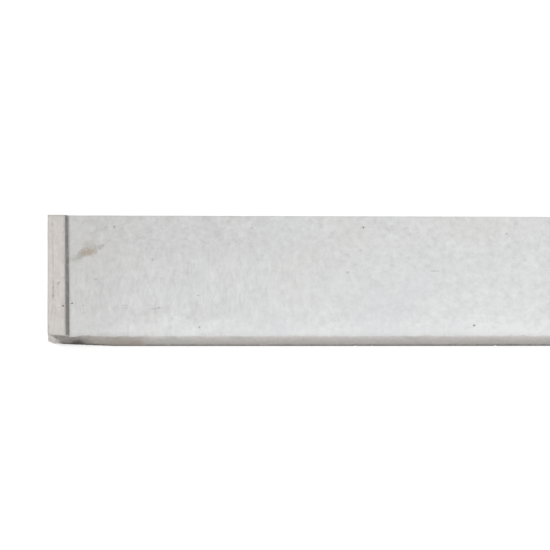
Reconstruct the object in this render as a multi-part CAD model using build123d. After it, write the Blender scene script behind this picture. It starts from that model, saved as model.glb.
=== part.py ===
"""Recessed concrete gravel board, lying on its flat back with the cast face up.

Millimetres. +X runs along the board, +Y to its upper edge as it stands in a fence, and +Z out of
the cast face. The origin is the middle of the back.
"""

import os

from build123d import *

# The board as it is sold
board_length = 1830.0
board_height = 305.0
end_thickness = 50.0

# The field between the end strips, sunk so that the posts hold only the thicker ends
end_strip_width = 38.0
shoulder_run = 9.0
recess_depth = 7.0

# What the mould leaves: long edges that lean in towards the face, and softened arrises
edge_lean = 4.0
field_arris_radius = 4.5
strip_arris_radius = 9.0
end_arris_width = 2.0

# The corner knocked off where the left end meets the lower edge
break_along = 19.0
break_across = 14.0
break_up = 40.0

# The long thin flake lost from the back arris beside it
spall_along = 150.0
spall_across = 9.0
spall_up = 14.0


def board_section(station, face_height, arris_radius, inset=0.0):
    """Cross-section at a place along the board, trimmed by an inset on all but its back."""
    top = face_height - inset
    half_back = board_height / 2 - inset
    half_face = half_back - edge_lean * top / end_thickness
    corners = [(-half_back, 0.0), (half_back, 0.0), (half_face, top), (-half_face, top)]
    outline = Polygon(*corners, align=None)
    arrises = outline.vertices().group_by(Axis.Y)[-1]
    return Plane.YZ.offset(station) * fillet(arrises, arris_radius)


def strip_section(station, inset=0.0):
    """Cross-section of an end strip."""
    return board_section(station, end_thickness, strip_arris_radius, inset)


def field_section(station):
    """Cross-section of the sunk field."""
    return board_section(station, end_thickness - recess_depth, field_arris_radius)


def cast_board():
    """The whole casting, drawn through its sections from one end to the other."""
    half_length = board_length / 2
    strip_outer_edge = half_length - end_arris_width
    strip_inner_edge = half_length - end_strip_width
    shoulder_foot = strip_inner_edge - shoulder_run

    left_end = strip_section(-half_length, end_arris_width)
    left_strip = [strip_section(-strip_outer_edge), strip_section(-strip_inner_edge)]
    field = [field_section(-shoulder_foot), field_section(shoulder_foot)]
    right_strip = [strip_section(strip_inner_edge), strip_section(strip_outer_edge)]
    right_end = strip_section(half_length, end_arris_width)
    return loft([left_end, *left_strip, *field, *right_strip, right_end], ruled=True)


def corner_break(along, across, up):
    """Plane of a break at the left end's lower back corner, this far along each of its edges."""
    corner = Vector(-board_length / 2, -board_height / 2, 0.0)
    on_lower_edge = corner + Vector(along, 0.0, 0.0)
    on_end = corner + Vector(0.0, across, 0.0)
    on_upright = corner + Vector(0.0, 0.0, up)
    inward = (on_end - on_lower_edge).cross(on_upright - on_lower_edge)
    return Plane(on_lower_edge, x_dir=on_end - on_lower_edge, z_dir=inward)


broken_corner = corner_break(break_along, break_across, break_up)
spalled_arris = corner_break(spall_along, spall_across, spall_up)

gravel_board = cast_board()
for break_face in (broken_corner, spalled_arris):
    gravel_board = split(gravel_board, bisect_by=break_face, keep=Keep.TOP)

os.makedirs("parts", exist_ok=True)
export_step(gravel_board, "parts/gravel_board.step")
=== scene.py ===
"""Looks of a recessed concrete gravel board on its flat back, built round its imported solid.

Metres, in the solid's own frame: +X runs along the board, +Y to the edge that is uppermost in a
fence, and +Z up out of the cast face.
"""

import math
import random

import bmesh
import bpy
from mathutils import Matrix, Vector, noise


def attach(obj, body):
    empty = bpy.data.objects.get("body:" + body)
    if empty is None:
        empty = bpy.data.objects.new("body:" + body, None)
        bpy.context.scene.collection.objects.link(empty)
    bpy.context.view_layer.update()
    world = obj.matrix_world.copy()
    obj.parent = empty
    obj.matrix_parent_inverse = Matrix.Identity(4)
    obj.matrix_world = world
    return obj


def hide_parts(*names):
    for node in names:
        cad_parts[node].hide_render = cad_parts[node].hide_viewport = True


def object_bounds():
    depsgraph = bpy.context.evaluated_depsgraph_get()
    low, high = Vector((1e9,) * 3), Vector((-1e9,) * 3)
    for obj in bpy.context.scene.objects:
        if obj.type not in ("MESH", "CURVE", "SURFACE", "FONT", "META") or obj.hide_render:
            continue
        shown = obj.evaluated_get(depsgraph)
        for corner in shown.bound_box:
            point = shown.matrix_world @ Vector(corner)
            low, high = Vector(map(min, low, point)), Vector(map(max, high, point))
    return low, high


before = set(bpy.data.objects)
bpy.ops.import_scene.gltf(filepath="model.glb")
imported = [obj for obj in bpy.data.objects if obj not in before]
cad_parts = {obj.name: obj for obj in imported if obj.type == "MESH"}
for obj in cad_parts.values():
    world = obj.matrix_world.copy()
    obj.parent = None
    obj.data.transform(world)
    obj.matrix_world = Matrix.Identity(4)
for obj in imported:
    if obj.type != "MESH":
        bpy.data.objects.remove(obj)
CAD_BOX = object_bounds()

# The casting, as in the solid
LENGTH, HEIGHT, THICKNESS = CAD_BOX[1] - CAD_BOX[0]
STRIP_WIDTH = 0.038
SHOULDER_RUN = 0.009
RECESS_DEPTH = 0.007
EDGE_LEAN = 0.004
FIELD_ARRIS = 0.0045
STRIP_ARRIS = 0.009
END_ARRIS = 0.002

# Places worked out from them
HALF_LENGTH = LENGTH / 2
HALF_HEIGHT = HEIGHT / 2
CREST = HALF_LENGTH - STRIP_WIDTH
FOOT = CREST - SHOULDER_RUN
FIELD = THICKNESS - RECESS_DEPTH

# The corner broken off and the arris spalled beside it: how far along the corner's three edges
BROKEN_CORNER = Vector((0.019, 0.014, 0.040))
SPALLED_ARRIS = Vector((0.150, 0.009, 0.014))
CORNER = Vector((-HALF_LENGTH, -HALF_HEIGHT, 0.0))

# The mesh: how far apart its lines lie, how its arrises are rounded, and what its tests allow
LINE_PITCH = 0.0044
BACK_ARRIS = 0.0002
LONG_ARRIS_STEPS = 4
END_ARRIS_STEPS = 2
SHARP_ANGLE = math.radians(38)
ON_PLANE = 1e-5
ALONG_AXIS = 0.7
SPAN_SLACK = (0.7, 1.4)

# How far the skin strays inwards
SKIN_WAVE = 0.00022
SKIN_DIMPLE = 0.00010
FLOAT_RIPPLE = 0.0006
FLOAT_LUMP = 0.0004
ARRIS_WEAR = 0.0009

# How many swells of each kind there are to the metre: along the board, across it and up
WAVE_COUNTS = (9, 9, 9)
DIMPLE_COUNTS = (55, 55, 55)
RIPPLE_COUNTS = (16, 60, 1)
LUMP_COUNTS = (90, 70, 1)
LONG_WEAR_COUNTS = (26, 26, 4)
SHORT_WEAR_COUNTS = (80, 80, 4)

# Where they show: by how far the skin faces up, and in from the back's rim
BACK_FACING = -0.9
ARRIS_FACING = (0.15, 0.97)
FLOAT_RIM = 0.015

# Where the foot of the edges straightens, from the left end, and how much straying it loses
STRAIGHT_FOOT = (0.25, 0.60)
FOOT_STRAIGHTNESS = 0.9

# Air holes seen on the face: from the left end, across the board, their width along and across it
SEEN_HOLES = [
    (0.0332, -0.0789, 0.0040, 0.0042),
    (0.0532, -0.0692, 0.0048, 0.0030),
    (0.3295, -0.0500, 0.0056, 0.0023),
    (0.3298, -0.1273, 0.0030, 0.0028),
    (0.7022, 0.1192, 0.0044, 0.0038),
    (0.9353, -0.1227, 0.0048, 0.0042),
    (1.0232, 0.1044, 0.0030, 0.0020),
    (0.1478, 0.1194, 0.0024, 0.0028),
    (0.2304, 0.0378, 0.0018, 0.0026),
]

# Smaller ones, scattered over the face and the long edges
SMALL_HOLES = 70
SMALL_HOLE_WIDTHS = (0.0010, 0.0026)
SMALL_HOLE_ROUNDNESS = (0.7, 1.0)
STRIP_HOLE_CHANCE = 0.08
STRIP_MARGIN = 0.006
EDGE_HOLES = 46
LOWEST_EDGE_HOLE = 0.016
HOLE_SPACING = 0.011

# Shares of the field's length and of the board's height that scattered holes and bites keep to
KEPT_LENGTH = 0.99
KEPT_HEIGHT = 0.92

# The shape of a hole: how deep it is for its width, how far its heart sinks, and how lumpy it is
HOLE_DEPTH_SHARE = 0.7
HOLE_SINK = 0.25
HOLE_ROUGHNESS = 0.25

# Bites out of the lower front arris: from the left end, their length and depth
SEEN_BITES = [
    (0.0900, 0.034, 0.0010),
    (0.1410, 0.016, 0.0013),
    (0.2150, 0.011, 0.0012),
    (0.3850, 0.013, 0.0012),
    (0.6270, 0.010, 0.0012),
    (0.8700, 0.014, 0.0013),
]

# Smaller ones, scattered over the long arrises
SMALL_BITES = 60
SMALL_BITE_LENGTHS = (0.005, 0.013)
FRONT_BITE_CHANCE = 0.6

# The shape of a bite: its depth and radius, its turns, and how lumpy it is
BITE_DEPTH_TO_LENGTH = 0.12
BITE_RADIUS_TO_DEPTH = 2.2
BITE_RADIUS_TO_LENGTH = 0.3
BITE_TILT = 0.5
BITE_SWING = 0.08
BITE_ROUGHNESS = 0.3

# The lumps of the balls that cut holes and bites: how close they lie, and how far they vary
BALL_LUMPS = 1.7
BALL_DRIFT = 99

# How deep a rounded arris lies below its sharp corner
ROUND_CORNER = FIELD_ARRIS * 0.41

# The breaks: how rough they are, how far apart their lines lie, and how far their formers overreach
BREAK_ROUGHNESS = 0.0022
SPALL_ROUGHNESS = 0.0006
BREAK_PITCH = 0.0022
BREAK_OVER_LENGTH = 0.03
BREAK_OVER_BREADTH = 0.02

# Their crags: how many to the metre, then the roughness, spacing and number of their layers
CRAG_COUNT = 130
CRAG_LAYERS = (0.8, 2.0, 4)

SEED = 41


# The board's mesh


def both(edge, test):
    """Whether both ends of an edge pass a test of their place."""
    return all(test(corner.co) for corner in edge.verts)


def on_back(place):
    """Whether a place lies on the plane of the back."""
    return place.z < ON_PLANE


def at_end(place):
    """Whether a place lies on the plane of one of the ends."""
    return abs(place.x) > HALF_LENGTH - ON_PLANE


def runs_along(edge, axis):
    """Whether an edge runs more along an axis than across it."""
    run = (edge.verts[1].co - edge.verts[0].co).normalized()
    return abs(run[axis]) > ALONG_AXIS


def soften(mesh, edges, width, steps):
    """Round some edges off."""
    bmesh.ops.bevel(
        mesh, geom=edges, offset=width, segments=steps, profile=0.5, affect="EDGES", material=-1
    )


def cast_blank():
    """The board as it leaves the mould: a block with its field sunk and its arrises softened."""
    mesh = bmesh.new()
    bmesh.ops.create_cube(mesh, size=1.0)
    bmesh.ops.scale(mesh, vec=(LENGTH, HEIGHT, THICKNESS), verts=mesh.verts)
    bmesh.ops.translate(mesh, vec=(0.0, 0.0, THICKNESS / 2), verts=mesh.verts)
    for place in (-CREST, -FOOT, FOOT, CREST):
        geometry = mesh.verts[:] + mesh.edges[:] + mesh.faces[:]
        bmesh.ops.bisect_plane(mesh, geom=geometry, plane_co=(place, 0, 0), plane_no=(1, 0, 0))
    face = [corner for corner in mesh.verts if corner.co.z > THICKNESS / 2]
    field = [corner for corner in face if abs(corner.co.x) < (CREST + FOOT) / 2]
    bmesh.ops.translate(mesh, vec=(0.0, 0.0, -RECESS_DEPTH), verts=field)
    for corner in mesh.verts:
        corner.co.y -= math.copysign(EDGE_LEAN * corner.co.z / THICKNESS, corner.co.y)

    face_rim = [edge for edge in mesh.edges if both(edge, lambda place: place.z > THICKNESS / 2)]
    long_arrises = [edge for edge in face_rim if not runs_along(edge, 1)]
    soften(mesh, long_arrises, FIELD_ARRIS, LONG_ARRIS_STEPS)
    end_rims = [edge for edge in mesh.edges if both(edge, at_end) and not both(edge, on_back)]
    soften(mesh, end_rims, END_ARRIS, END_ARRIS_STEPS)
    back_edges = [edge for edge in mesh.edges if both(edge, on_back)]
    back_rim = [edge for edge in back_edges if edge.calc_face_angle() > SHARP_ANGLE]
    soften(mesh, back_rim, BACK_ARRIS, 1)
    return mesh


def divide(mesh, axis, span):
    """Divide the edges along an axis that are about as long as a span into steps of the pitch."""
    least, most = SPAN_SLACK
    edges = [
        edge for edge in mesh.edges
        if runs_along(edge, axis) and least < edge.calc_length() / span < most
    ]
    bmesh.ops.subdivide_edges(mesh, edges=edges, cuts=round(span / LINE_PITCH) - 1)


def ramp(value, low, high):
    """0 below one level and 1 above another, with a straight line between them."""
    return min(1.0, max(0.0, (value - low) / (high - low)))


def shoulder_rise(along):
    """How far up the shoulder a place along the board is: 0 on the field, 1 on the end strips."""
    return ramp(abs(along), FOOT, CREST)


def face_level(along):
    """Height of the cast face at a place along the board."""
    return FIELD + RECESS_DEPTH * shoulder_rise(along)


def half_width(up):
    """Distance of the leaning long edges from the middle line at a height."""
    return HALF_HEIGHT - EDGE_LEAN * up / THICKNESS


def roll_strip_arrises(mesh):
    """Roll the long arrises over further towards the end strips, where they are rounder."""
    for corner in mesh.verts:
        radius = FIELD_ARRIS + (STRIP_ARRIS - FIELD_ARRIS) * shoulder_rise(corner.co.x)
        inset = half_width(corner.co.z) - abs(corner.co.y)
        depth = face_level(corner.co.x) - corner.co.z
        if inset < radius and depth < radius:
            out = Vector((radius - inset, radius - depth))
            pull = max(0.0, 1.0 - radius / out.length)
            corner.co.y -= math.copysign(out.x * pull, corner.co.y)
            corner.co.z -= out.y * pull


def waves(place, counts):
    """A smooth random level from 0 to 1, with about that many swells to the metre each way."""
    return 0.5 + 0.5 * noise.noise(place * Vector(counts))


def skin_depth(place, normal):
    """How far the skin lies inside the ideal casting at a place."""
    depth = SKIN_WAVE * waves(place, WAVE_COUNTS) + SKIN_DIMPLE * waves(place, DIMPLE_COUNTS)
    if normal.z < BACK_FACING:
        from_rim = min(HALF_LENGTH - abs(place.x), HALF_HEIGHT - abs(place.y))
        marks = FLOAT_RIPPLE * waves(place, RIPPLE_COUNTS) + FLOAT_LUMP * waves(place, LUMP_COUNTS)
        depth += marks * ramp(from_rim, 0.0, FLOAT_RIM)
    elif place.z < 2 * BACK_ARRIS:
        depth *= 1.0 - FOOT_STRAIGHTNESS * ramp(place.x + HALF_LENGTH, *STRAIGHT_FOOT)
    least, most = ARRIS_FACING
    if least < normal.z < most:
        worn = waves(place, LONG_WEAR_COUNTS) ** 3 + waves(place, SHORT_WEAR_COUNTS) ** 4
        depth += ARRIS_WEAR * worn
    return depth


def weather(mesh):
    """Let the skin stray inwards: swells all over, float marks on the back, and worn arrises."""
    mesh.normal_update()
    depths = [skin_depth(corner.co, corner.normal) for corner in mesh.verts]
    for corner, depth in zip(mesh.verts, depths):
        corner.co -= corner.normal * depth


# What is taken out of it


def rough_ball(formers, place, turn, radii, roughness, drift):
    """Add a lumpy ball to the formers, with its own radii before it is turned."""
    ball = bmesh.ops.create_icosphere(formers, subdivisions=2, radius=1.0)["verts"]
    for corner in ball:
        lump = noise.noise(corner.co * BALL_LUMPS + drift)
        corner.co *= 1.0 + roughness * lump
    sized = Matrix.Translation(place) @ turn @ Matrix.Diagonal(radii).to_4x4()
    bmesh.ops.transform(formers, matrix=sized, verts=ball)


def air_hole(formers, place, normal, width, breadth, chance):
    """The hollow left by a bubble that lay against the mould."""
    turn = normal.to_track_quat("Z", "Y").to_matrix().to_4x4()
    depth = HOLE_DEPTH_SHARE * min(width, breadth)
    radii = Vector((width, breadth, 2 * depth)) / 2
    drift = Vector((chance.uniform(0, BALL_DRIFT), 0, 0))
    rough_ball(formers, place - normal * depth * HOLE_SINK, turn, radii, HOLE_ROUGHNESS, drift)


def random_face_spot(chance):
    """A place on the cast face, clear of its arrises and shoulders."""
    along = chance.uniform(-FOOT, FOOT) * KEPT_LENGTH
    if chance.random() < STRIP_HOLE_CHANCE:
        on_strip = chance.uniform(CREST + STRIP_MARGIN, HALF_LENGTH - STRIP_MARGIN)
        along = math.copysign(on_strip, along)
    across = chance.uniform(-HALF_HEIGHT, HALF_HEIGHT) * KEPT_HEIGHT
    return Vector((along, across, face_level(along))), Vector((0, 0, 1))


def random_edge_spot(chance):
    """A place on one of the two long edges, clear of its arrises and of the broken corner."""
    side = chance.choice((-1, 1))
    up = chance.uniform(LOWEST_EDGE_HOLE, FIELD - 2 * FIELD_ARRIS)
    along = chance.uniform(-FOOT, FOOT)
    normal = Vector((0, side, EDGE_LEAN / THICKNESS)).normalized()
    return Vector((along, side * half_width(up), up)), normal


def air_holes(formers, chance):
    """The holes seen on the face, and smaller ones over the face and the long edges."""
    taken = []
    for from_left, across, width, breadth in SEEN_HOLES:
        along = from_left - HALF_LENGTH
        place = Vector((along, across, face_level(along)))
        air_hole(formers, place, Vector((0, 0, 1)), width, breadth, chance)
        taken.append(place)
    low, high = SMALL_HOLE_WIDTHS
    for random_spot, count in ((random_face_spot, SMALL_HOLES), (random_edge_spot, EDGE_HOLES)):
        for _ in range(count):
            place, normal = random_spot(chance)
            if all((place - other).length > HOLE_SPACING for other in taken):
                width = low + (high - low) * chance.random() ** 3
                breadth = width * chance.uniform(*SMALL_HOLE_ROUNDNESS)
                air_hole(formers, place, normal, width, breadth, chance)
                taken.append(place)


def face_arris(along, side):
    """A place on the corner where the cast face and a long edge would meet if it were sharp."""
    level = face_level(along)
    return Vector((along, side * half_width(level), level))


def bite(formers, corner, out, length, depth, chance):
    """A flake knocked off an edge that runs along the board, at a place on its sharp corner."""
    radius = max(BITE_RADIUS_TO_DEPTH * depth, BITE_RADIUS_TO_LENGTH * length)
    place = corner + out * (radius - depth)
    tilt = Matrix.Rotation(chance.uniform(-BITE_TILT, BITE_TILT), 4, "X")
    turn = tilt @ Matrix.Rotation(chance.uniform(-BITE_SWING, BITE_SWING), 4, "Z")
    drift = Vector((chance.uniform(0, BALL_DRIFT), 0, 0))
    rough_ball(formers, place, turn, Vector((length / 2, radius, radius)), BITE_ROUGHNESS, drift)


def arris_bites(formers, chance):
    """The bites seen in the lower front arris, and smaller ones on all the long arrises."""
    out_low = Vector((0, -1, 1)).normalized()
    taken = []
    for from_left, length, depth in SEEN_BITES:
        along = from_left - HALF_LENGTH
        taken.append((along, -1, True))
        bite(formers, face_arris(along, -1), out_low, length, ROUND_CORNER + depth, chance)
    low, high = SMALL_BITE_LENGTHS
    for _ in range(SMALL_BITES):
        along = chance.uniform(-FOOT + SPALLED_ARRIS.x, FOOT) * KEPT_LENGTH
        side = chance.choice((-1, 1))
        front = chance.random() < FRONT_BITE_CHANCE
        length = low + (high - low) * chance.random() ** 2
        depth = length * BITE_DEPTH_TO_LENGTH + (ROUND_CORNER if front else 0.0)
        if all(s != side or f != front or abs(a - along) > 2 * high for a, s, f in taken):
            taken.append((along, side, front))
            corner = face_arris(along, side) if front else Vector((along, side * HALF_HEIGHT, 0.0))
            out = Vector((0, side, 1 if front else -1)).normalized()
            bite(formers, corner, out, length, depth, chance)


def broken_off(formers, reaches, roughness):
    """A block with one rough side, for a break that reaches so far along the corner's edges."""
    inward = Vector([1 / reach for reach in reaches]).normalized()
    along = Vector((reaches.x, -reaches.y, 0.0)).normalized()
    lay = Matrix((along, inward.cross(along), inward)).transposed().to_4x4()
    lay.translation = CORNER + reaches / 3
    length = reaches.x + BREAK_OVER_LENGTH
    breadth = max(reaches.y, reaches.z) + BREAK_OVER_BREADTH
    rows, columns = round(length / BREAK_PITCH), round(breadth / BREAK_PITCH)
    grid = bmesh.ops.create_grid(formers, x_segments=rows, y_segments=columns, size=0.5)["verts"]
    sized = lay @ Matrix.Diagonal((length, breadth, 1.0, 1.0))
    bmesh.ops.transform(formers, matrix=sized, verts=grid)
    for corner in grid:
        crag = noise.fractal(corner.co * CRAG_COUNT, *CRAG_LAYERS)
        corner.co += inward * roughness * crag
    faces = list({face for corner in grid for face in corner.link_faces})
    grown = bmesh.ops.extrude_face_region(formers, geom=faces, use_keep_orig=True)["geom"]
    far_side = [element for element in grown if isinstance(element, bmesh.types.BMVert)]
    bmesh.ops.translate(formers, vec=-inward * breadth, verts=far_side)


def plain_object(name, mesh):
    """Turn a bmesh into an object of the scene."""
    data = bpy.data.meshes.new(name)
    mesh.to_mesh(data)
    mesh.free()
    piece = bpy.data.objects.new(name, data)
    bpy.context.scene.collection.objects.link(piece)
    return piece


def carve(piece, formers):
    """Take the formers out of a piece."""
    bmesh.ops.recalc_face_normals(formers, faces=formers.faces)
    cutter = plain_object("formers", formers)
    cut = piece.modifiers.new("cut", "BOOLEAN")
    cut.operation = "DIFFERENCE"
    cut.solver = "MANIFOLD"
    cut.object = cutter
    evaluated = piece.evaluated_get(bpy.context.evaluated_depsgraph_get())
    carved = bpy.data.meshes.new_from_object(evaluated)
    piece.modifiers.clear()
    piece.data = carved
    bpy.data.objects.remove(cutter)


def drop_idle_corners(piece):
    """Drop the corners, left by the carving, at which only two edges meet."""
    mesh = bmesh.new()
    mesh.from_mesh(piece.data)
    idle = [corner for corner in mesh.verts if len(corner.link_edges) == 2]
    bmesh.ops.dissolve_verts(mesh, verts=idle)
    mesh.to_mesh(piece.data)
    mesh.free()


def weathered_board():
    """The board as it is seen: cast, worn, pitted and with one corner broken off."""
    mesh = cast_blank()
    for axis, span in ((0, 2 * FOOT), (0, STRIP_WIDTH), (0, SHOULDER_RUN), (1, HEIGHT), (2, FIELD)):
        divide(mesh, axis, span)
    roll_strip_arrises(mesh)
    weather(mesh)
    board = plain_object("weathered_board", mesh)

    chance = random.Random(SEED)
    hollows = bmesh.new()
    air_holes(hollows, chance)
    arris_bites(hollows, chance)
    carve(board, hollows)
    breaks = ((SPALLED_ARRIS, SPALL_ROUGHNESS), (BROKEN_CORNER, BREAK_ROUGHNESS))
    for reaches, roughness in breaks:
        lost = bmesh.new()
        broken_off(lost, reaches, roughness)
        carve(board, lost)
    drop_idle_corners(board)
    board.data.shade_smooth()
    board.data.set_sharp_from_angle(angle=SHARP_ANGLE)
    return board


# Shader maths


class Signal:
    """One output of a material's nodes. Sums and products of it add Math nodes."""

    def __init__(self, tree, socket=None):
        self.tree = tree
        self.socket = socket

    def node(self, kind, settings=None, inputs=None, output=0):
        """Any node: its type, its settings, then the values or links of its sockets."""
        made = self.tree.nodes.new(kind)
        for name, setting in (settings or {}).items():
            setattr(made, name, setting)
        for name, source in (inputs or {}).items():
            if isinstance(source, Signal):
                self.tree.links.new(source.socket, made.inputs[name])
            else:
                made.inputs[name].default_value = source
        return Signal(self.tree, made.outputs[output])

    def math(self, operation, first, second=0.0):
        """A Math node on two values."""
        return self.node("ShaderNodeMath", {"operation": operation}, {0: first, 1: second})

    def __add__(self, other):
        return self.math("ADD", self, other)

    def __radd__(self, other):
        return self.math("ADD", other, self)

    def __sub__(self, other):
        return self.math("SUBTRACT", self, other)

    def __rsub__(self, other):
        return self.math("SUBTRACT", other, self)

    def __mul__(self, other):
        return self.math("MULTIPLY", self, other)

    def __rmul__(self, other):
        return self.math("MULTIPLY", other, self)

    def __abs__(self):
        return self.math("ABSOLUTE", self)

    def rise(self, low, high):
        """0 below one level and 1 above another, with a smooth step between them."""
        levels = {"Value": self, "From Min": low, "From Max": high}
        return self.node("ShaderNodeMapRange", {"interpolation_type": "SMOOTHSTEP"}, levels)

    def fall(self, low, high):
        """1 below one level and 0 above another."""
        return 1.0 - self.rise(low, high)

    def within(self, start, full, fading, end):
        """1 inside a stretch and 0 outside it, with a smooth step at either end."""
        return self.rise(start, full) * self.fall(fading, end)

    def stretched(self, factors):
        """A place with each of its coordinates multiplied."""
        return self.node("ShaderNodeVectorMath", {"operation": "MULTIPLY"}, {0: self, 1: factors})

    def cloud(self, scale, detail=2.0, roughness=0.5, distortion=0.0):
        """Cloudy noise at a place, as a signed value about 0."""
        inputs = {"Vector": self, "Scale": scale, "Detail": detail}
        inputs.update({"Roughness": roughness, "Distortion": distortion})
        return self.node("ShaderNodeTexNoise", None, inputs) - 0.5

    def cells(self, scale, output, flat=False):
        """Random cells at a place: the distance to the nearest one's heart, or its own colour."""
        settings = {"voronoi_dimensions": "2D" if flat else "3D"}
        return self.node("ShaderNodeTexVoronoi", settings, {"Vector": self, "Scale": scale}, output)

    def over(self, below, above):
        """A colour laid over another by this share."""
        inputs = {0: self, 6: below, 7: above}
        return self.node("ShaderNodeMix", {"data_type": "RGBA"}, inputs, output=2)

    def parts(self):
        """The three coordinates of a place."""
        return [self.node("ShaderNodeSeparateXYZ", None, {0: self}, output=n) for n in range(3)]


# Concrete


FACE_PALE = (0.795, 0.805, 0.806, 1.0)
FACE_GREY = (0.463, 0.453, 0.451, 1.0)
FACE_OLIVE = (0.645, 0.642, 0.600, 1.0)
FACE_COOL = (0.665, 0.680, 0.695, 1.0)
STRIP_PALE = (0.715, 0.680, 0.650, 1.0)
STRIP_GREY = (0.480, 0.452, 0.430, 1.0)
STRIP_OLIVE = (0.590, 0.580, 0.540, 1.0)
EDGE_PALE = (0.727, 0.702, 0.685, 1.0)
EDGE_GREY = (0.425, 0.405, 0.375, 1.0)
EDGE_DIRT = (0.278, 0.222, 0.170, 1.0)
EDGE_MOSS = (0.460, 0.460, 0.390, 1.0)
EDGE_MAUVE = (0.620, 0.565, 0.570, 1.0)
EDGE_RUST = (0.376, 0.239, 0.205, 1.0)
CORNER_DIRT_AND_SHADE = (0.185, 0.176, 0.160, 1.0)
FOOT_DIRT_AND_SHADOW = (0.122, 0.116, 0.106, 1.0)
# Dark grey of the shoulder slopes: grime, and painted shade on the slope
GRIME_AND_SHADE = (0.300, 0.298, 0.288, 1.0)
# Soot for cracks and spots, and also painted shade and shadow in holes, undercuts and along the
# foot
SOOT_AND_SHADE = (0.060, 0.056, 0.052, 1.0)
SMEAR_GREY = (0.360, 0.352, 0.335, 1.0)
SMEAR_OLIVE = (0.430, 0.420, 0.365, 1.0)
SMEAR_BROWN = (0.380, 0.310, 0.245, 1.0)
BACK_PALE = (0.660, 0.648, 0.625, 1.0)
BACK_GREY = (0.400, 0.390, 0.372, 1.0)
MORTAR_PALE = (0.860, 0.830, 0.805, 1.0)
MORTAR_GREY = (0.600, 0.562, 0.535, 1.0)
STONE_PALE = (0.700, 0.655, 0.610, 1.0)
STONE_DARK = (0.430, 0.395, 0.365, 1.0)

# How deep the finest relief looks, and how much light the matt skin reflects
BUMP_STRENGTH = 0.4
BUMP_DEPTH = 0.0008
SHEEN = 0.3

# Cracks and scratches seen on the face: both ends, from the left end and across the board,
# then their width and darkness
SEEN_LINES = [
    ((0.0121, -0.0145), (0.0120, -0.0385), 0.0016, 0.70),
    ((0.0104, 0.1132), (0.0126, -0.0106), 0.0034, 0.16),
    ((0.0118, -0.0300), (0.0112, -0.0700), 0.0050, 0.20),
    ((0.0110, -0.0680), (0.0066, -0.1230), 0.0040, 0.14),
    ((0.0200, -0.0280), (0.0272, -0.0192), 0.0054, 0.34),
    ((0.2215, -0.0846), (0.2462, -0.0790), 0.0042, 0.22),
    ((0.8451, 0.0107), (0.8675, 0.0107), 0.0030, 0.32),
    ((0.1590, -0.0743), (0.1750, -0.0746), 0.0040, 0.11),
    ((0.1600, -0.0806), (0.1740, -0.0810), 0.0036, 0.09),
    ((0.1439, 0.1118), (0.1500, 0.1231), 0.0066, 0.13),
]

# Faint spots seen on the face: from the left end, across the board, half their length and
# breadth, and darkness
# Those that sit on air holes darken them: dirt and painted shade.
SEEN_SPOTS = [
    (0.1476, 0.1190, 0.0055, 0.0050, 0.09),
    (0.2304, 0.0378, 0.0030, 0.0050, 0.12),
    (0.1050, -0.0105, 0.0050, 0.0030, 0.20),
    (0.6612, 0.0072, 0.0050, 0.0034, 0.16),
    (0.6930, 0.0620, 0.0032, 0.0044, 0.14),
    (1.0236, 0.1042, 0.0045, 0.0035, 0.12),
    (0.0122, -0.0545, 0.0034, 0.0060, 0.24),
    (0.0106, 0.1195, 0.0034, 0.0060, 0.16),
    (0.2440, -0.0796, 0.0046, 0.0034, 0.20),
    (0.7022, 0.1192, 0.0060, 0.0056, 0.14),
    (0.9353, -0.1227, 0.0060, 0.0056, 0.13),
    (0.3298, -0.1273, 0.0048, 0.0044, 0.08),
]

# Parts of the smear near the left end: from it, across the board, half their length and breadth
SMEAR_CLOUD = (0.0930, 0.0745, 0.0185, 0.0135)
SMEAR_FOOT = (0.0640, 0.0400, 0.0180, 0.0110)
SMEAR_HAZE = (0.0890, 0.0550, 0.0210, 0.0135)
SMEAR_TAIL = (0.1180, 0.0703, 0.0105, 0.0058)
SMEAR_SPREAD = (0.0870, 0.0560, 0.0480, 0.0135)
SMEAR_HEART = (0.0890, 0.0560, 0.0220, 0.0130)
SMEAR_SLANT = math.radians(29)
TAIL_SLANT = math.radians(50)

# Over which share of its oval a stain fades
SOFT_RIM = (0.1, 1.2)
FIRM_RIM = (0.2, 1.2)

# Painted shade under the spall, and a rust stain, on the lower edge: from the left end, up from the
# floor, half their length and height
UNDERCUT_SHADE = (0.0655, 0.009, 0.0200, 0.022)
RUST_STAIN = (0.1920, 0.012, 0.0200, 0.017)

# Pale stretches of the lower arris, from the left end: where each starts, is full, fades and ends
KEPT_PALE = (0.0455, 0.0480, 0.0555, 0.0600)
RUBBED_PALE = (0.0270, 0.0330, 0.0400, 0.0440)

# Between which places the face's finishes fade: across the board
LOW_HALF = (-0.12, 0.13)
BLOOM = (-0.140, -0.084)
STREAKS_START = (-0.01, 0.11)
STREAKS_THIN = (-0.125, -0.065)
LOWER_RIM_DARK = (-0.149, -0.136)

# The same from the left end
BLOOM_GROWS = (0.10, 0.26)
FACE_LIGHTENS_RIGHTWARDS = (-0.42, 1.12)
LEFT_END_DARKENS = (0.08, 0.24)
STREAKS_END = (0.45, 0.80)
LEFT_TINT = (0.05, 0.30)
RIM_DARK_LEFT = (0.12, 0.24)
RIM_SHADE_RIGHT = (0.60, 1.05)

# The same on the end strips and shoulders: across the board, then from its middle
STRIP_TIPS = (0.115, 0.145)
STRIP_UPPER_ARRIS = (0.1380, 0.1440)
STRIP_END_DARKENS = (-0.08, 0.02)
SHOULDER_DARK_NARROWS = (-0.04, 0.13)
STRIP_END_ARRIS = (HALF_LENGTH - 0.0050, HALF_LENGTH - 0.0012)
STRIP_START = (CREST - 0.0012, CREST + 0.0004)
SHOULDER_DARK_FOOT = (FOOT - 0.0010, FOOT + 0.0008)
SHOULDER_DARK_CREST = (CREST - 0.0013, CREST + 0.0003)

# The same on the edges: up from the floor
EDGE_LIGHTENS = (-0.004, 0.046)
FOOT_DARK_RISE = (0.0, 0.0100)
CONTACT_RISE = (0.0, 0.003)

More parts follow.
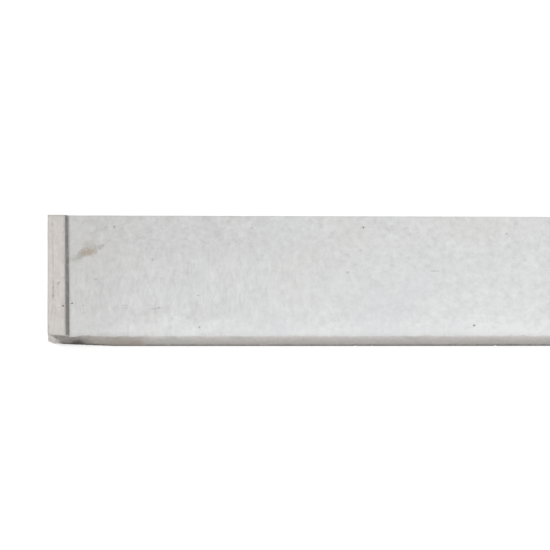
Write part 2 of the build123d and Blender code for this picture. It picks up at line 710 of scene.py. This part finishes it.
# The same on the edges: across the board and from its middle, then from the left end
LOWER_EDGE = (-0.10, 0.0)
LONG_ARRIS = (HALF_HEIGHT - 0.014, HALF_HEIGHT - 0.010)
EDGE_END_ARRIS = (HALF_LENGTH - 0.0016, HALF_LENGTH - 0.0008)
EDGE_DIRT_END = (0.165, 0.245)
CORNER_DARK_END = (0.055, 0.105)
FOOT_DARK_GROWS = (0.50, 0.95)
CONTACT_DARKENS = (0.30, 0.95)
SPALL_SHADE_END = (0.10, 0.15)
ARRIS_SHADE_GROWS = (0.60, 1.00)

# The same by depth: behind the spall, behind the broken corner and below the face in air holes
SPALL_SHADE_DEPTH = (0.001, 0.0065)
BARE_BREAK = (0.0070, 0.0130)
HOLE_DARK_DEPTHS = (0.0005, 0.0024, 0.0060, 0.0090)

# Where the dirt and painted shade in air holes stops short of the edges, the ends and the shoulders
HOLES_TO_EDGES = (HALF_HEIGHT - 0.013, HALF_HEIGHT - 0.011)
HOLES_TO_ENDS = (HALF_LENGTH - 0.0045, HALF_LENGTH - 0.0035)
ON_SHOULDER = (FOOT - 0.002, FOOT, CREST, CREST + 0.002)


class Skin:
    """Where a point of the board's skin is, and how far it faces upwards."""

    def __init__(self, start):
        self.place = start.node("ShaderNodeTexCoord", output="Object")
        self.x, self.y, self.z = self.place.parts()
        self.up = start.node("ShaderNodeTexCoord", output="Normal").parts()[2]
        self.from_left = self.x + HALF_LENGTH
        self.from_middle = abs(self.x)
        self.sand = self.place.cloud(1700.0, 2.0, 0.6)
        self.grain = self.place.cloud(620.0, 3.0, 0.6)
        self.mottle = self.place.cloud(95.0, 4.0, 0.62)
        self.patches = self.place.cloud(21.0, 3.0, 0.6)
        self.on_strip = self.from_middle.rise(*STRIP_START)

    def turned(self, from_left, across, angle):
        """Distances of the point from a place on the face, along and across a line through it."""
        along = self.from_left - from_left
        aside = self.y - across
        cosine, sine = math.cos(angle), math.sin(angle)
        return along * cosine + aside * sine, aside * cosine - along * sine

    def oval(self, from_left, across, half_length, half_breadth, angle=0.0):
        """0 at the heart of an oval on the face and 1 on its rim."""
        along, aside = self.turned(from_left, across, angle)
        along = along * (1.0 / half_length)
        aside = aside * (1.0 / half_breadth)
        return along * along + aside * aside


def face_colour(skin):
    """Pale grey: blotched above, streaked below, and bloomed white along the lower edge."""
    place = skin.place
    clouds = place.cloud(3.0, 2.0)
    blotches = place.cloud(66.0, 2.5, 0.75, 0.3)
    streaks = place.stretched((1.0, 0.26, 1.0)).cloud(104.0, 2.0, 0.6, 1.0)
    low_half = (skin.y + 0.25 * clouds + 0.08 * skin.patches).fall(*LOW_HALF)
    bloom = (skin.y - 0.03 * blotches - 0.04 * skin.patches).fall(*BLOOM)
    bloom = bloom * (0.40 + 0.60 * skin.from_left.rise(*BLOOM_GROWS))
    # Lighter towards the right and darker at the left end: painted light falloff along the board
    painted_light_rightwards = skin.from_left.rise(*FACE_LIGHTENS_RIGHTWARDS)
    tone = 0.250 + 0.42 * painted_light_rightwards + 0.13 * low_half + 0.20 * bloom + 0.16 * clouds
    tone = tone - 0.085 * skin.from_left.fall(*LEFT_END_DARKENS)

    streaked = (skin.y + 0.10 * skin.patches).fall(*STREAKS_START)
    streaked = streaked * skin.from_left.fall(*STREAKS_END)
    streaked = streaked * (1.0 - 0.45 * skin.y.fall(*STREAKS_THIN))
    tone = tone + 0.34 * skin.patches + 0.24 * skin.mottle + 0.05 * streaked
    tone = tone + 0.15 * skin.grain + 0.30 * skin.sand
    tone = tone + 0.80 * (blotches * (1.0 - 0.6 * streaked)) + 0.72 * (streaks * streaked)
    tone = tone - 0.12 * ((-1.0 * blotches).rise(0.08, 0.28) * (1.0 - low_half))

    colour = tone.over(FACE_GREY, FACE_PALE)
    tint = place.cloud(7.0, 2.0) + 0.6 * skin.y + 0.22 * skin.from_left.fall(*LEFT_TINT) - 0.06
    colour = (tint.rise(0.0, 0.25) * 0.30).over(colour, FACE_OLIVE)
    colour = ((-1.0 * tint).rise(0.0, 0.25) * 0.30).over(colour, FACE_COOL)
    # Greyer along the lower rim: dirt, and painted shade of a rounder arris, more so to the right
    rim_shade_and_dirt = 0.12 + 0.18 * skin.from_left.fall(*RIM_DARK_LEFT)
    rim_shade_and_dirt = rim_shade_and_dirt + 0.07 * skin.from_left.rise(*RIM_SHADE_RIGHT)
    return (skin.y.fall(*LOWER_RIM_DARK) * rim_shade_and_dirt).over(colour, EDGE_GREY)


def strip_colour(skin):
    """Warmer grey, streaked along the strip and less pink at its tips."""
    place = skin.place
    streaks = place.stretched((1.0, 0.22, 1.0)).cloud(160.0, 3.0, 0.6, 1.2)
    blots = place.cloud(140.0, 1.5).rise(0.10, 0.26)
    tone = 0.57 + 1.15 * streaks + 0.45 * skin.mottle - 0.30 * blots
    tone = tone + 0.20 * skin.grain + 0.30 * skin.sand
    colour = tone.over(STRIP_GREY, STRIP_PALE)
    tips = (abs(skin.y) + 0.06 * skin.patches).rise(*STRIP_TIPS)
    colour = (tips * 0.6).over(colour, STRIP_OLIVE)
    upper_arris = skin.y.rise(*STRIP_UPPER_ARRIS)
    # Darker along the end arris: dirt, and painted shade against the lamp beyond the left end
    end_arris = skin.from_middle.rise(*STRIP_END_ARRIS)
    end_dirt_and_shade = 0.60 + 0.30 * skin.y.rise(*STRIP_END_DARKENS)
    return (0.30 * upper_arris + end_dirt_and_shade * end_arris).over(colour, EDGE_GREY)


def smeared(skin, colour):
    """A smear near the left end, brown at its heart and grey at its tails."""
    ragged = 1.5 * skin.place.cloud(60.0, 3.0, 0.6) + 1.5 * skin.place.cloud(190.0, 2.0)
    cloud = (skin.oval(*SMEAR_CLOUD) + ragged).fall(*SOFT_RIM)
    cloud = cloud + 0.5 * (skin.oval(*SMEAR_FOOT) + ragged).fall(*SOFT_RIM)
    colour = (cloud * 0.42).over(colour, SMEAR_OLIVE)
    haze = (skin.oval(*SMEAR_HAZE) + ragged).fall(*SOFT_RIM)
    colour = (haze * 0.34).over(colour, SMEAR_BROWN)
    tail = (skin.oval(*SMEAR_TAIL, TAIL_SLANT) + ragged).fall(*FIRM_RIM)
    colour = (tail * 0.50).over(colour, SMEAR_GREY)
    spread = skin.oval(*SMEAR_SPREAD, SMEAR_SLANT)
    stain = (spread.math("SQRT", spread) + 0.6 * ragged).fall(0.20, 1.05)
    heart = (skin.oval(*SMEAR_HEART) + ragged).fall(*FIRM_RIM)
    return (stain * 0.64).over(colour, heart.over(SMEAR_GREY, SMEAR_BROWN))


def spotted(skin, colour):
    """The faint spots of the face."""
    ragged = 1.6 * skin.mottle
    for from_left, across, half_length, half_breadth, darkness in SEEN_SPOTS:
        spot = (skin.oval(from_left, across, half_length, half_breadth) + ragged).fall(*SOFT_RIM)
        colour = (spot * darkness).over(colour, SOOT_AND_SHADE)
    return colour


def scratched(skin, colour):
    """The cracks and scratches of the face."""
    wobble = 0.0022 * skin.place.cloud(90.0, 2.0)
    for (x0, y0), (x1, y1), width, darkness in SEEN_LINES:
        length = math.hypot(x1 - x0, y1 - y0)
        along, aside = skin.turned(x0, y0, math.atan2(y1 - y0, x1 - x0))
        line = abs(aside + wobble).fall(0.15 * width, 0.55 * width)
        ends = along.within(0.0, 0.2 * length, 0.8 * length, length)
        colour = (line * ends * darkness).over(colour, SOOT_AND_SHADE)
    return colour


def grime_and_shade_on_shoulders(skin, colour):
    """Grime, and painted shade, on the slopes between the field and the end strips."""
    wobble = skin.from_middle + 0.0018 * skin.place.cloud(120.0, 2.0)
    # The painted shade and grime narrow towards the upper edge
    narrowing = 0.0003 + 0.0021 * skin.y.rise(*SHOULDER_DARK_NARROWS)
    above_foot = (wobble - narrowing).rise(*SHOULDER_DARK_FOOT)
    slope = above_foot * wobble.fall(*SHOULDER_DARK_CREST)
    thick = 0.9 + 0.9 * skin.mottle
    return (slope * thick * skin.up.rise(0.45, 0.75)).over(colour, GRIME_AND_SHADE)


def dirt_and_shade_in_holes(skin, colour):
    """Air holes, darkened by dirt and painted shade."""
    depth = FIELD + RECESS_DEPTH * skin.on_strip - skin.z
    sunk = depth.within(*HOLE_DARK_DEPTHS)
    clear = abs(skin.y).fall(*HOLES_TO_EDGES) * skin.from_middle.fall(*HOLES_TO_ENDS)
    clear = clear * (1.0 - skin.from_middle.within(*ON_SHOULDER))
    return (0.40 * sunk * clear).over(colour, SOOT_AND_SHADE)


def break_depth(skin, reaches):
    """How deep a point lies in the board, behind the plane of a break at the corner."""
    steepness = Vector([1 / reach for reach in reaches])
    from_low = skin.y + HALF_HEIGHT
    share = skin.from_left * steepness.x + from_low * steepness.y + skin.z * steepness.z
    return (share - 1.0) * (1.0 / steepness.length)


def edge_blot(skin, from_left, up, half_length, half_height):
    """0 at the heart of an oval on the long edges and 1 on its rim."""
    along = (skin.from_left - from_left) * (1.0 / half_length)
    above = (skin.z - up) * (1.0 / half_height)
    return along * along + above * above


def edge_colour(skin):
    """The long edges and ends: warm grey, darker towards the floor and the broken corner, from
    dirt, a painted contact shadow and painted shade in the undercut.
    """
    place = skin.place
    patches = place.stretched((1.0, 1.0, 2.2)).cloud(13.0, 3.0, 0.6)
    blots = place.cloud(90.0, 3.0, 0.6)
    height = skin.z.rise(*EDGE_LIGHTENS)
    tone = 0.02 + 0.85 * height + 0.40 * skin.mottle + 0.35 * patches
    tone = tone + 0.20 * skin.grain + 0.30 * skin.sand
    tone = tone + 0.60 * place.cloud(270.0, 3.0, 0.65)
    # The ends darker: painted shade against the lamp beyond the left end
    tone = tone - 0.38 * skin.from_middle.rise(*EDGE_END_ARRIS)
    colour = tone.over(EDGE_GREY, EDGE_PALE)
    # Pores on the edges darkened: painted shade, with dirt
    pores = place.cells(300.0, "Distance").fall(0.10, 0.24)
    pores = pores * place.cells(300.0, "Color").parts()[0].rise(0.72, 0.76)
    colour = (0.40 * pores).over(colour, CORNER_DIRT_AND_SHADE)
    colour = (patches.rise(0.02, 0.16) * 0.40).over(colour, EDGE_MOSS)
    colour = ((-1.0 * patches).rise(0.02, 0.16) * 0.45).over(colour, EDGE_MAUVE)

    lower_edge = skin.y.fall(*LOWER_EDGE)
    astray = skin.from_left + 0.08 * patches
    uneven = lower_edge * (1.0 + 1.4 * blots)
    colour = (0.46 * astray.fall(*EDGE_DIRT_END) * uneven).over(colour, EDGE_DIRT)
    # Darker towards the broken corner: dirt, and painted shade of the undercut
    colour = (0.64 * astray.fall(*CORNER_DARK_END) * uneven).over(colour, CORNER_DIRT_AND_SHADE)
    # Dark along the foot: dirt with a painted contact shadow, darker to the right
    darker_rightwards = 0.88 + 0.12 * skin.from_left.rise(*FOOT_DARK_GROWS)
    near_floor = (skin.z + 0.008 * blots).fall(*FOOT_DARK_RISE) * darker_rightwards
    colour = near_floor.over(colour, FOOT_DIRT_AND_SHADOW)
    # A painted contact shadow along the very foot
    in_contact = skin.z.fall(*CONTACT_RISE) * skin.from_left.rise(*CONTACT_DARKENS)
    colour = in_contact.over(colour, SOOT_AND_SHADE)

    # Painted shade in the undercut of the spalled arris, and a darker painted shade spot beside it
    spall_shade = (break_depth(skin, SPALLED_ARRIS) + 0.004 * blots).fall(*SPALL_SHADE_DEPTH)
    spall_shade = spall_shade * skin.from_left.fall(*SPALL_SHADE_END)
    colour = (0.70 * spall_shade * lower_edge).over(colour, SOOT_AND_SHADE)
    undercut_shade = edge_blot(skin, *UNDERCUT_SHADE) + 1.5 * blots + 0.8 * skin.grain
    colour = (0.92 * undercut_shade.fall(0.0, 1.0) * lower_edge).over(colour, SOOT_AND_SHADE)
    rust = edge_blot(skin, *RUST_STAIN) + 1.5 * blots
    return (0.36 * rust.fall(0.0, 1.2) * lower_edge).over(colour, EDGE_RUST)


def side_share(skin):
    """1 on the edges and ends, and 0 on the face. The line wanders over the long arrises, and
    creeps up them towards the right as painted shade of a rounder arris.
    """
    pale = 0.45 * skin.from_left.within(*KEPT_PALE) + 0.15 * skin.from_left.within(*RUBBED_PALE)
    arris_shade_rightwards = skin.from_left.rise(*ARRIS_SHADE_GROWS)
    wander = 1.6 * skin.place.cloud(34.0, 2.0) + pale - 0.15 * arris_shade_rightwards
    on_arris = skin.up.within(0.10, 0.35, 0.930, 0.985) * abs(skin.y).rise(*LONG_ARRIS)
    return (skin.up + 0.5 * skin.mottle + wander * on_arris).fall(0.40, 0.85)


def broken_stone(skin, colour):
    """Fresh concrete where the corner broke off, with its stones showing."""
    heart = skin.place.cells(190.0, "Distance")
    kind = skin.place.cells(190.0, "Color").parts()[0]
    tone = 0.5 + 2.0 * skin.mottle + 1.0 * skin.grain + 0.8 * skin.sand
    mortar = tone.over(MORTAR_GREY, MORTAR_PALE)
    stone = kind.rise(0.5, 1.0).over(STONE_DARK, STONE_PALE)
    stones = (heart + 0.40 * skin.grain).fall(0.36, 0.44) * kind.rise(0.50, 0.52)
    fresh = stones.over(mortar, stone)
    ragged = 0.010 * skin.place.cloud(110.0, 3.0)
    bare = (break_depth(skin, BROKEN_CORNER) + ragged).fall(*BARE_BREAK)
    return (bare * skin.up.fall(0.3, 0.7) * 0.9).over(colour, fresh)


def floated_back(skin):
    """The back, which is smoothed by hand: grey, with the long sweeps of the float."""
    sweeps = skin.place.stretched((0.26, 1.0, 1.0)).cloud(62.0, 3.0, 0.6, 1.4)
    damp = skin.place.cloud(6.0, 3.0, 0.6)
    tone = 0.52 + 0.95 * sweeps + 0.55 * damp + 0.50 * skin.patches + 0.45 * skin.mottle
    tone = tone + 0.30 * skin.grain + 0.40 * skin.sand
    return tone.over(BACK_GREY, BACK_PALE)


def pinholes(skin):
    """Fine holes all over the cast skin, as a depth from 0 to 1."""
    flat = skin.place.node("ShaderNodeCombineXYZ", None, {0: skin.x + skin.z, 1: skin.y + skin.z})
    heart = flat.cells(95.0, "Distance", flat=True)
    chance = flat.cells(95.0, "Color", flat=True).parts()[0]
    return heart.fall(0.025, 0.05) * chance.rise(0.80, 0.84)


def cast_concrete():
    """Pale cast concrete, weathered and dirty."""
    material = bpy.data.materials.new("cast_concrete")
    material.use_nodes = True
    tree = material.node_tree
    shader = tree.nodes["Principled BSDF"]
    skin = Skin(Signal(tree))
    holes = pinholes(skin)

    colour = skin.on_strip.over(face_colour(skin), strip_colour(skin))
    colour = smeared(skin, colour)
    colour = spotted(skin, colour)
    colour = scratched(skin, colour)
    colour = grime_and_shade_on_shoulders(skin, colour)
    colour = side_share(skin).over(colour, edge_colour(skin))
    colour = dirt_and_shade_in_holes(skin, colour)
    colour = skin.up.fall(-0.90, -0.75).over(colour, floated_back(skin))
    colour = broken_stone(skin, colour)
    # Fine pinholes darkened: painted shade, with dirt
    colour = (holes * 0.4).over(colour, SOOT_AND_SHADE)

    roughness = 0.86 + 0.25 * skin.grain + 0.15 * skin.mottle
    height = 0.5 * skin.grain + 0.7 * skin.mottle + 0.2 * skin.sand - 0.6 * holes
    relief = {"Strength": BUMP_STRENGTH, "Distance": BUMP_DEPTH, "Height": height}
    bump = skin.place.node("ShaderNodeBump", None, relief)
    tree.links.new(colour.socket, shader.inputs["Base Color"])
    tree.links.new(roughness.socket, shader.inputs["Roughness"])
    tree.links.new(bump.socket, shader.inputs["Normal"])
    shader.inputs["Specular IOR Level"].default_value = SHEEN
    return material


# Stage


FLOOR_SIZE = 60.0
FLOOR_DROP = 0.0004
FLOOR_BOUNCE = (0.82, 0.82, 0.82, 1.0)
FLOOR_SHOWN = (0.46, 0.46, 0.46, 1.0)
FLOOR_GLOW = 0.60
WHITE = (1.0, 1.0, 1.0, 1.0)
SKY_LIGHT = 0.55
SUN_SHARE = 0.45
SUN_HEIGHT = math.radians(36)
SUN_SWING = math.radians(-6)
SUN_SPREAD = math.radians(24)

SIGHT_AIM = Vector((-0.4151, 0.0003, FIELD))
SIGHT_DISTANCE = 6.5
SIGHT_YAW = math.radians(4.83)
SIGHT_TILT = math.radians(26.50)
SIGHT_ROLL = math.radians(0.074)
SIGHT_WIDTH = 1.2129


def seen_by_eye(start):
    """1 for rays that show the background itself, and 0 for those that light the board."""
    rays = [start.node("ShaderNodeLightPath", output=name)
            for name in ("Is Camera Ray", "Is Glossy Ray", "Is Transmission Ray")]
    return (rays[0] + rays[1] + rays[2]).rise(0.0, 1.0)


def lay_floor():
    """A plain white floor that keeps the board's shadow."""
    mesh = bmesh.new()
    bmesh.ops.create_grid(mesh, x_segments=1, y_segments=1, size=FLOOR_SIZE / 2)
    bmesh.ops.translate(mesh, vec=(0.0, 0.0, -FLOOR_DROP), verts=mesh.verts)
    floor = plain_object("floor", mesh)
    material = bpy.data.materials.new("white_floor")
    material.use_nodes = True
    tree = material.node_tree
    start = Signal(tree)
    bounce = start.node("ShaderNodeBsdfDiffuse", None, {"Color": FLOOR_BOUNCE})
    shown = start.node("ShaderNodeBsdfDiffuse", None, {"Color": FLOOR_SHOWN})
    glow = start.node("ShaderNodeEmission", None, {"Color": WHITE, "Strength": FLOOR_GLOW})
    lit = start.node("ShaderNodeAddShader", None, {0: shown, 1: glow})
    mixed = start.node("ShaderNodeMixShader", None, {0: seen_by_eye(start), 1: bounce, 2: lit})
    tree.links.new(mixed.socket, tree.nodes["Material Output"].inputs["Surface"])
    floor.data.materials.append(material)


def light_sky():
    """An even white surround, dimmer as a light than as a background."""
    world = bpy.data.worlds.new("surround")
    world.use_nodes = True
    tree = world.node_tree
    start = Signal(tree)
    strength = SKY_LIGHT + (1.0 - SKY_LIGHT) * seen_by_eye(start)
    background = tree.nodes["Background"]
    background.inputs["Color"].default_value = WHITE
    tree.links.new(strength.socket, background.inputs["Strength"])
    bpy.context.scene.world = world


def hang_sun():
    """One wide soft lamp far off beyond the left end, which leaves the left shoulder in shade."""
    lamp = bpy.data.lights.new("soft_sun", "SUN")
    lamp.energy = SUN_SHARE * math.pi / math.sin(SUN_HEIGHT)
    lamp.angle = SUN_SPREAD
    sun = bpy.data.objects.new("soft_sun", lamp)
    level, height = math.cos(SUN_HEIGHT), math.sin(SUN_HEIGHT)
    towards = Vector((-level * math.cos(SUN_SWING), level * math.sin(SUN_SWING), height))
    sun.rotation_euler = towards.to_track_quat("Z", "Y").to_euler()
    bpy.context.scene.collection.objects.link(sun)


def place_camera():
    """Look down on the board from beyond its lower edge, level with its left end."""
    sight = Vector((math.sin(SIGHT_YAW), math.sin(SIGHT_TILT), -math.cos(SIGHT_TILT))).normalized()
    upright = Vector((0.0, math.cos(SIGHT_TILT), math.sin(SIGHT_TILT)))
    right = sight.cross(upright).normalized()
    up = right.cross(sight)
    turn = Matrix((right, up, -sight)).transposed().to_4x4() @ Matrix.Rotation(SIGHT_ROLL, 4, "Z")
    lens = bpy.data.cameras.new("camera")
    lens.lens = lens.sensor_width * SIGHT_DISTANCE / SIGHT_WIDTH
    camera = bpy.data.objects.new("camera", lens)
    camera.matrix_world = Matrix.Translation(SIGHT_AIM - sight * SIGHT_DISTANCE) @ turn
    bpy.context.scene.collection.objects.link(camera)
    bpy.context.scene.camera = camera


board = weathered_board()
board.data.materials.clear()
board.data.materials.append(cast_concrete())
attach(board, "root")
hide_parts("gravel_board")

lay_floor()
light_sky()
hang_sun()
place_camera()
bpy.context.scene.view_settings.view_transform = "Standard"
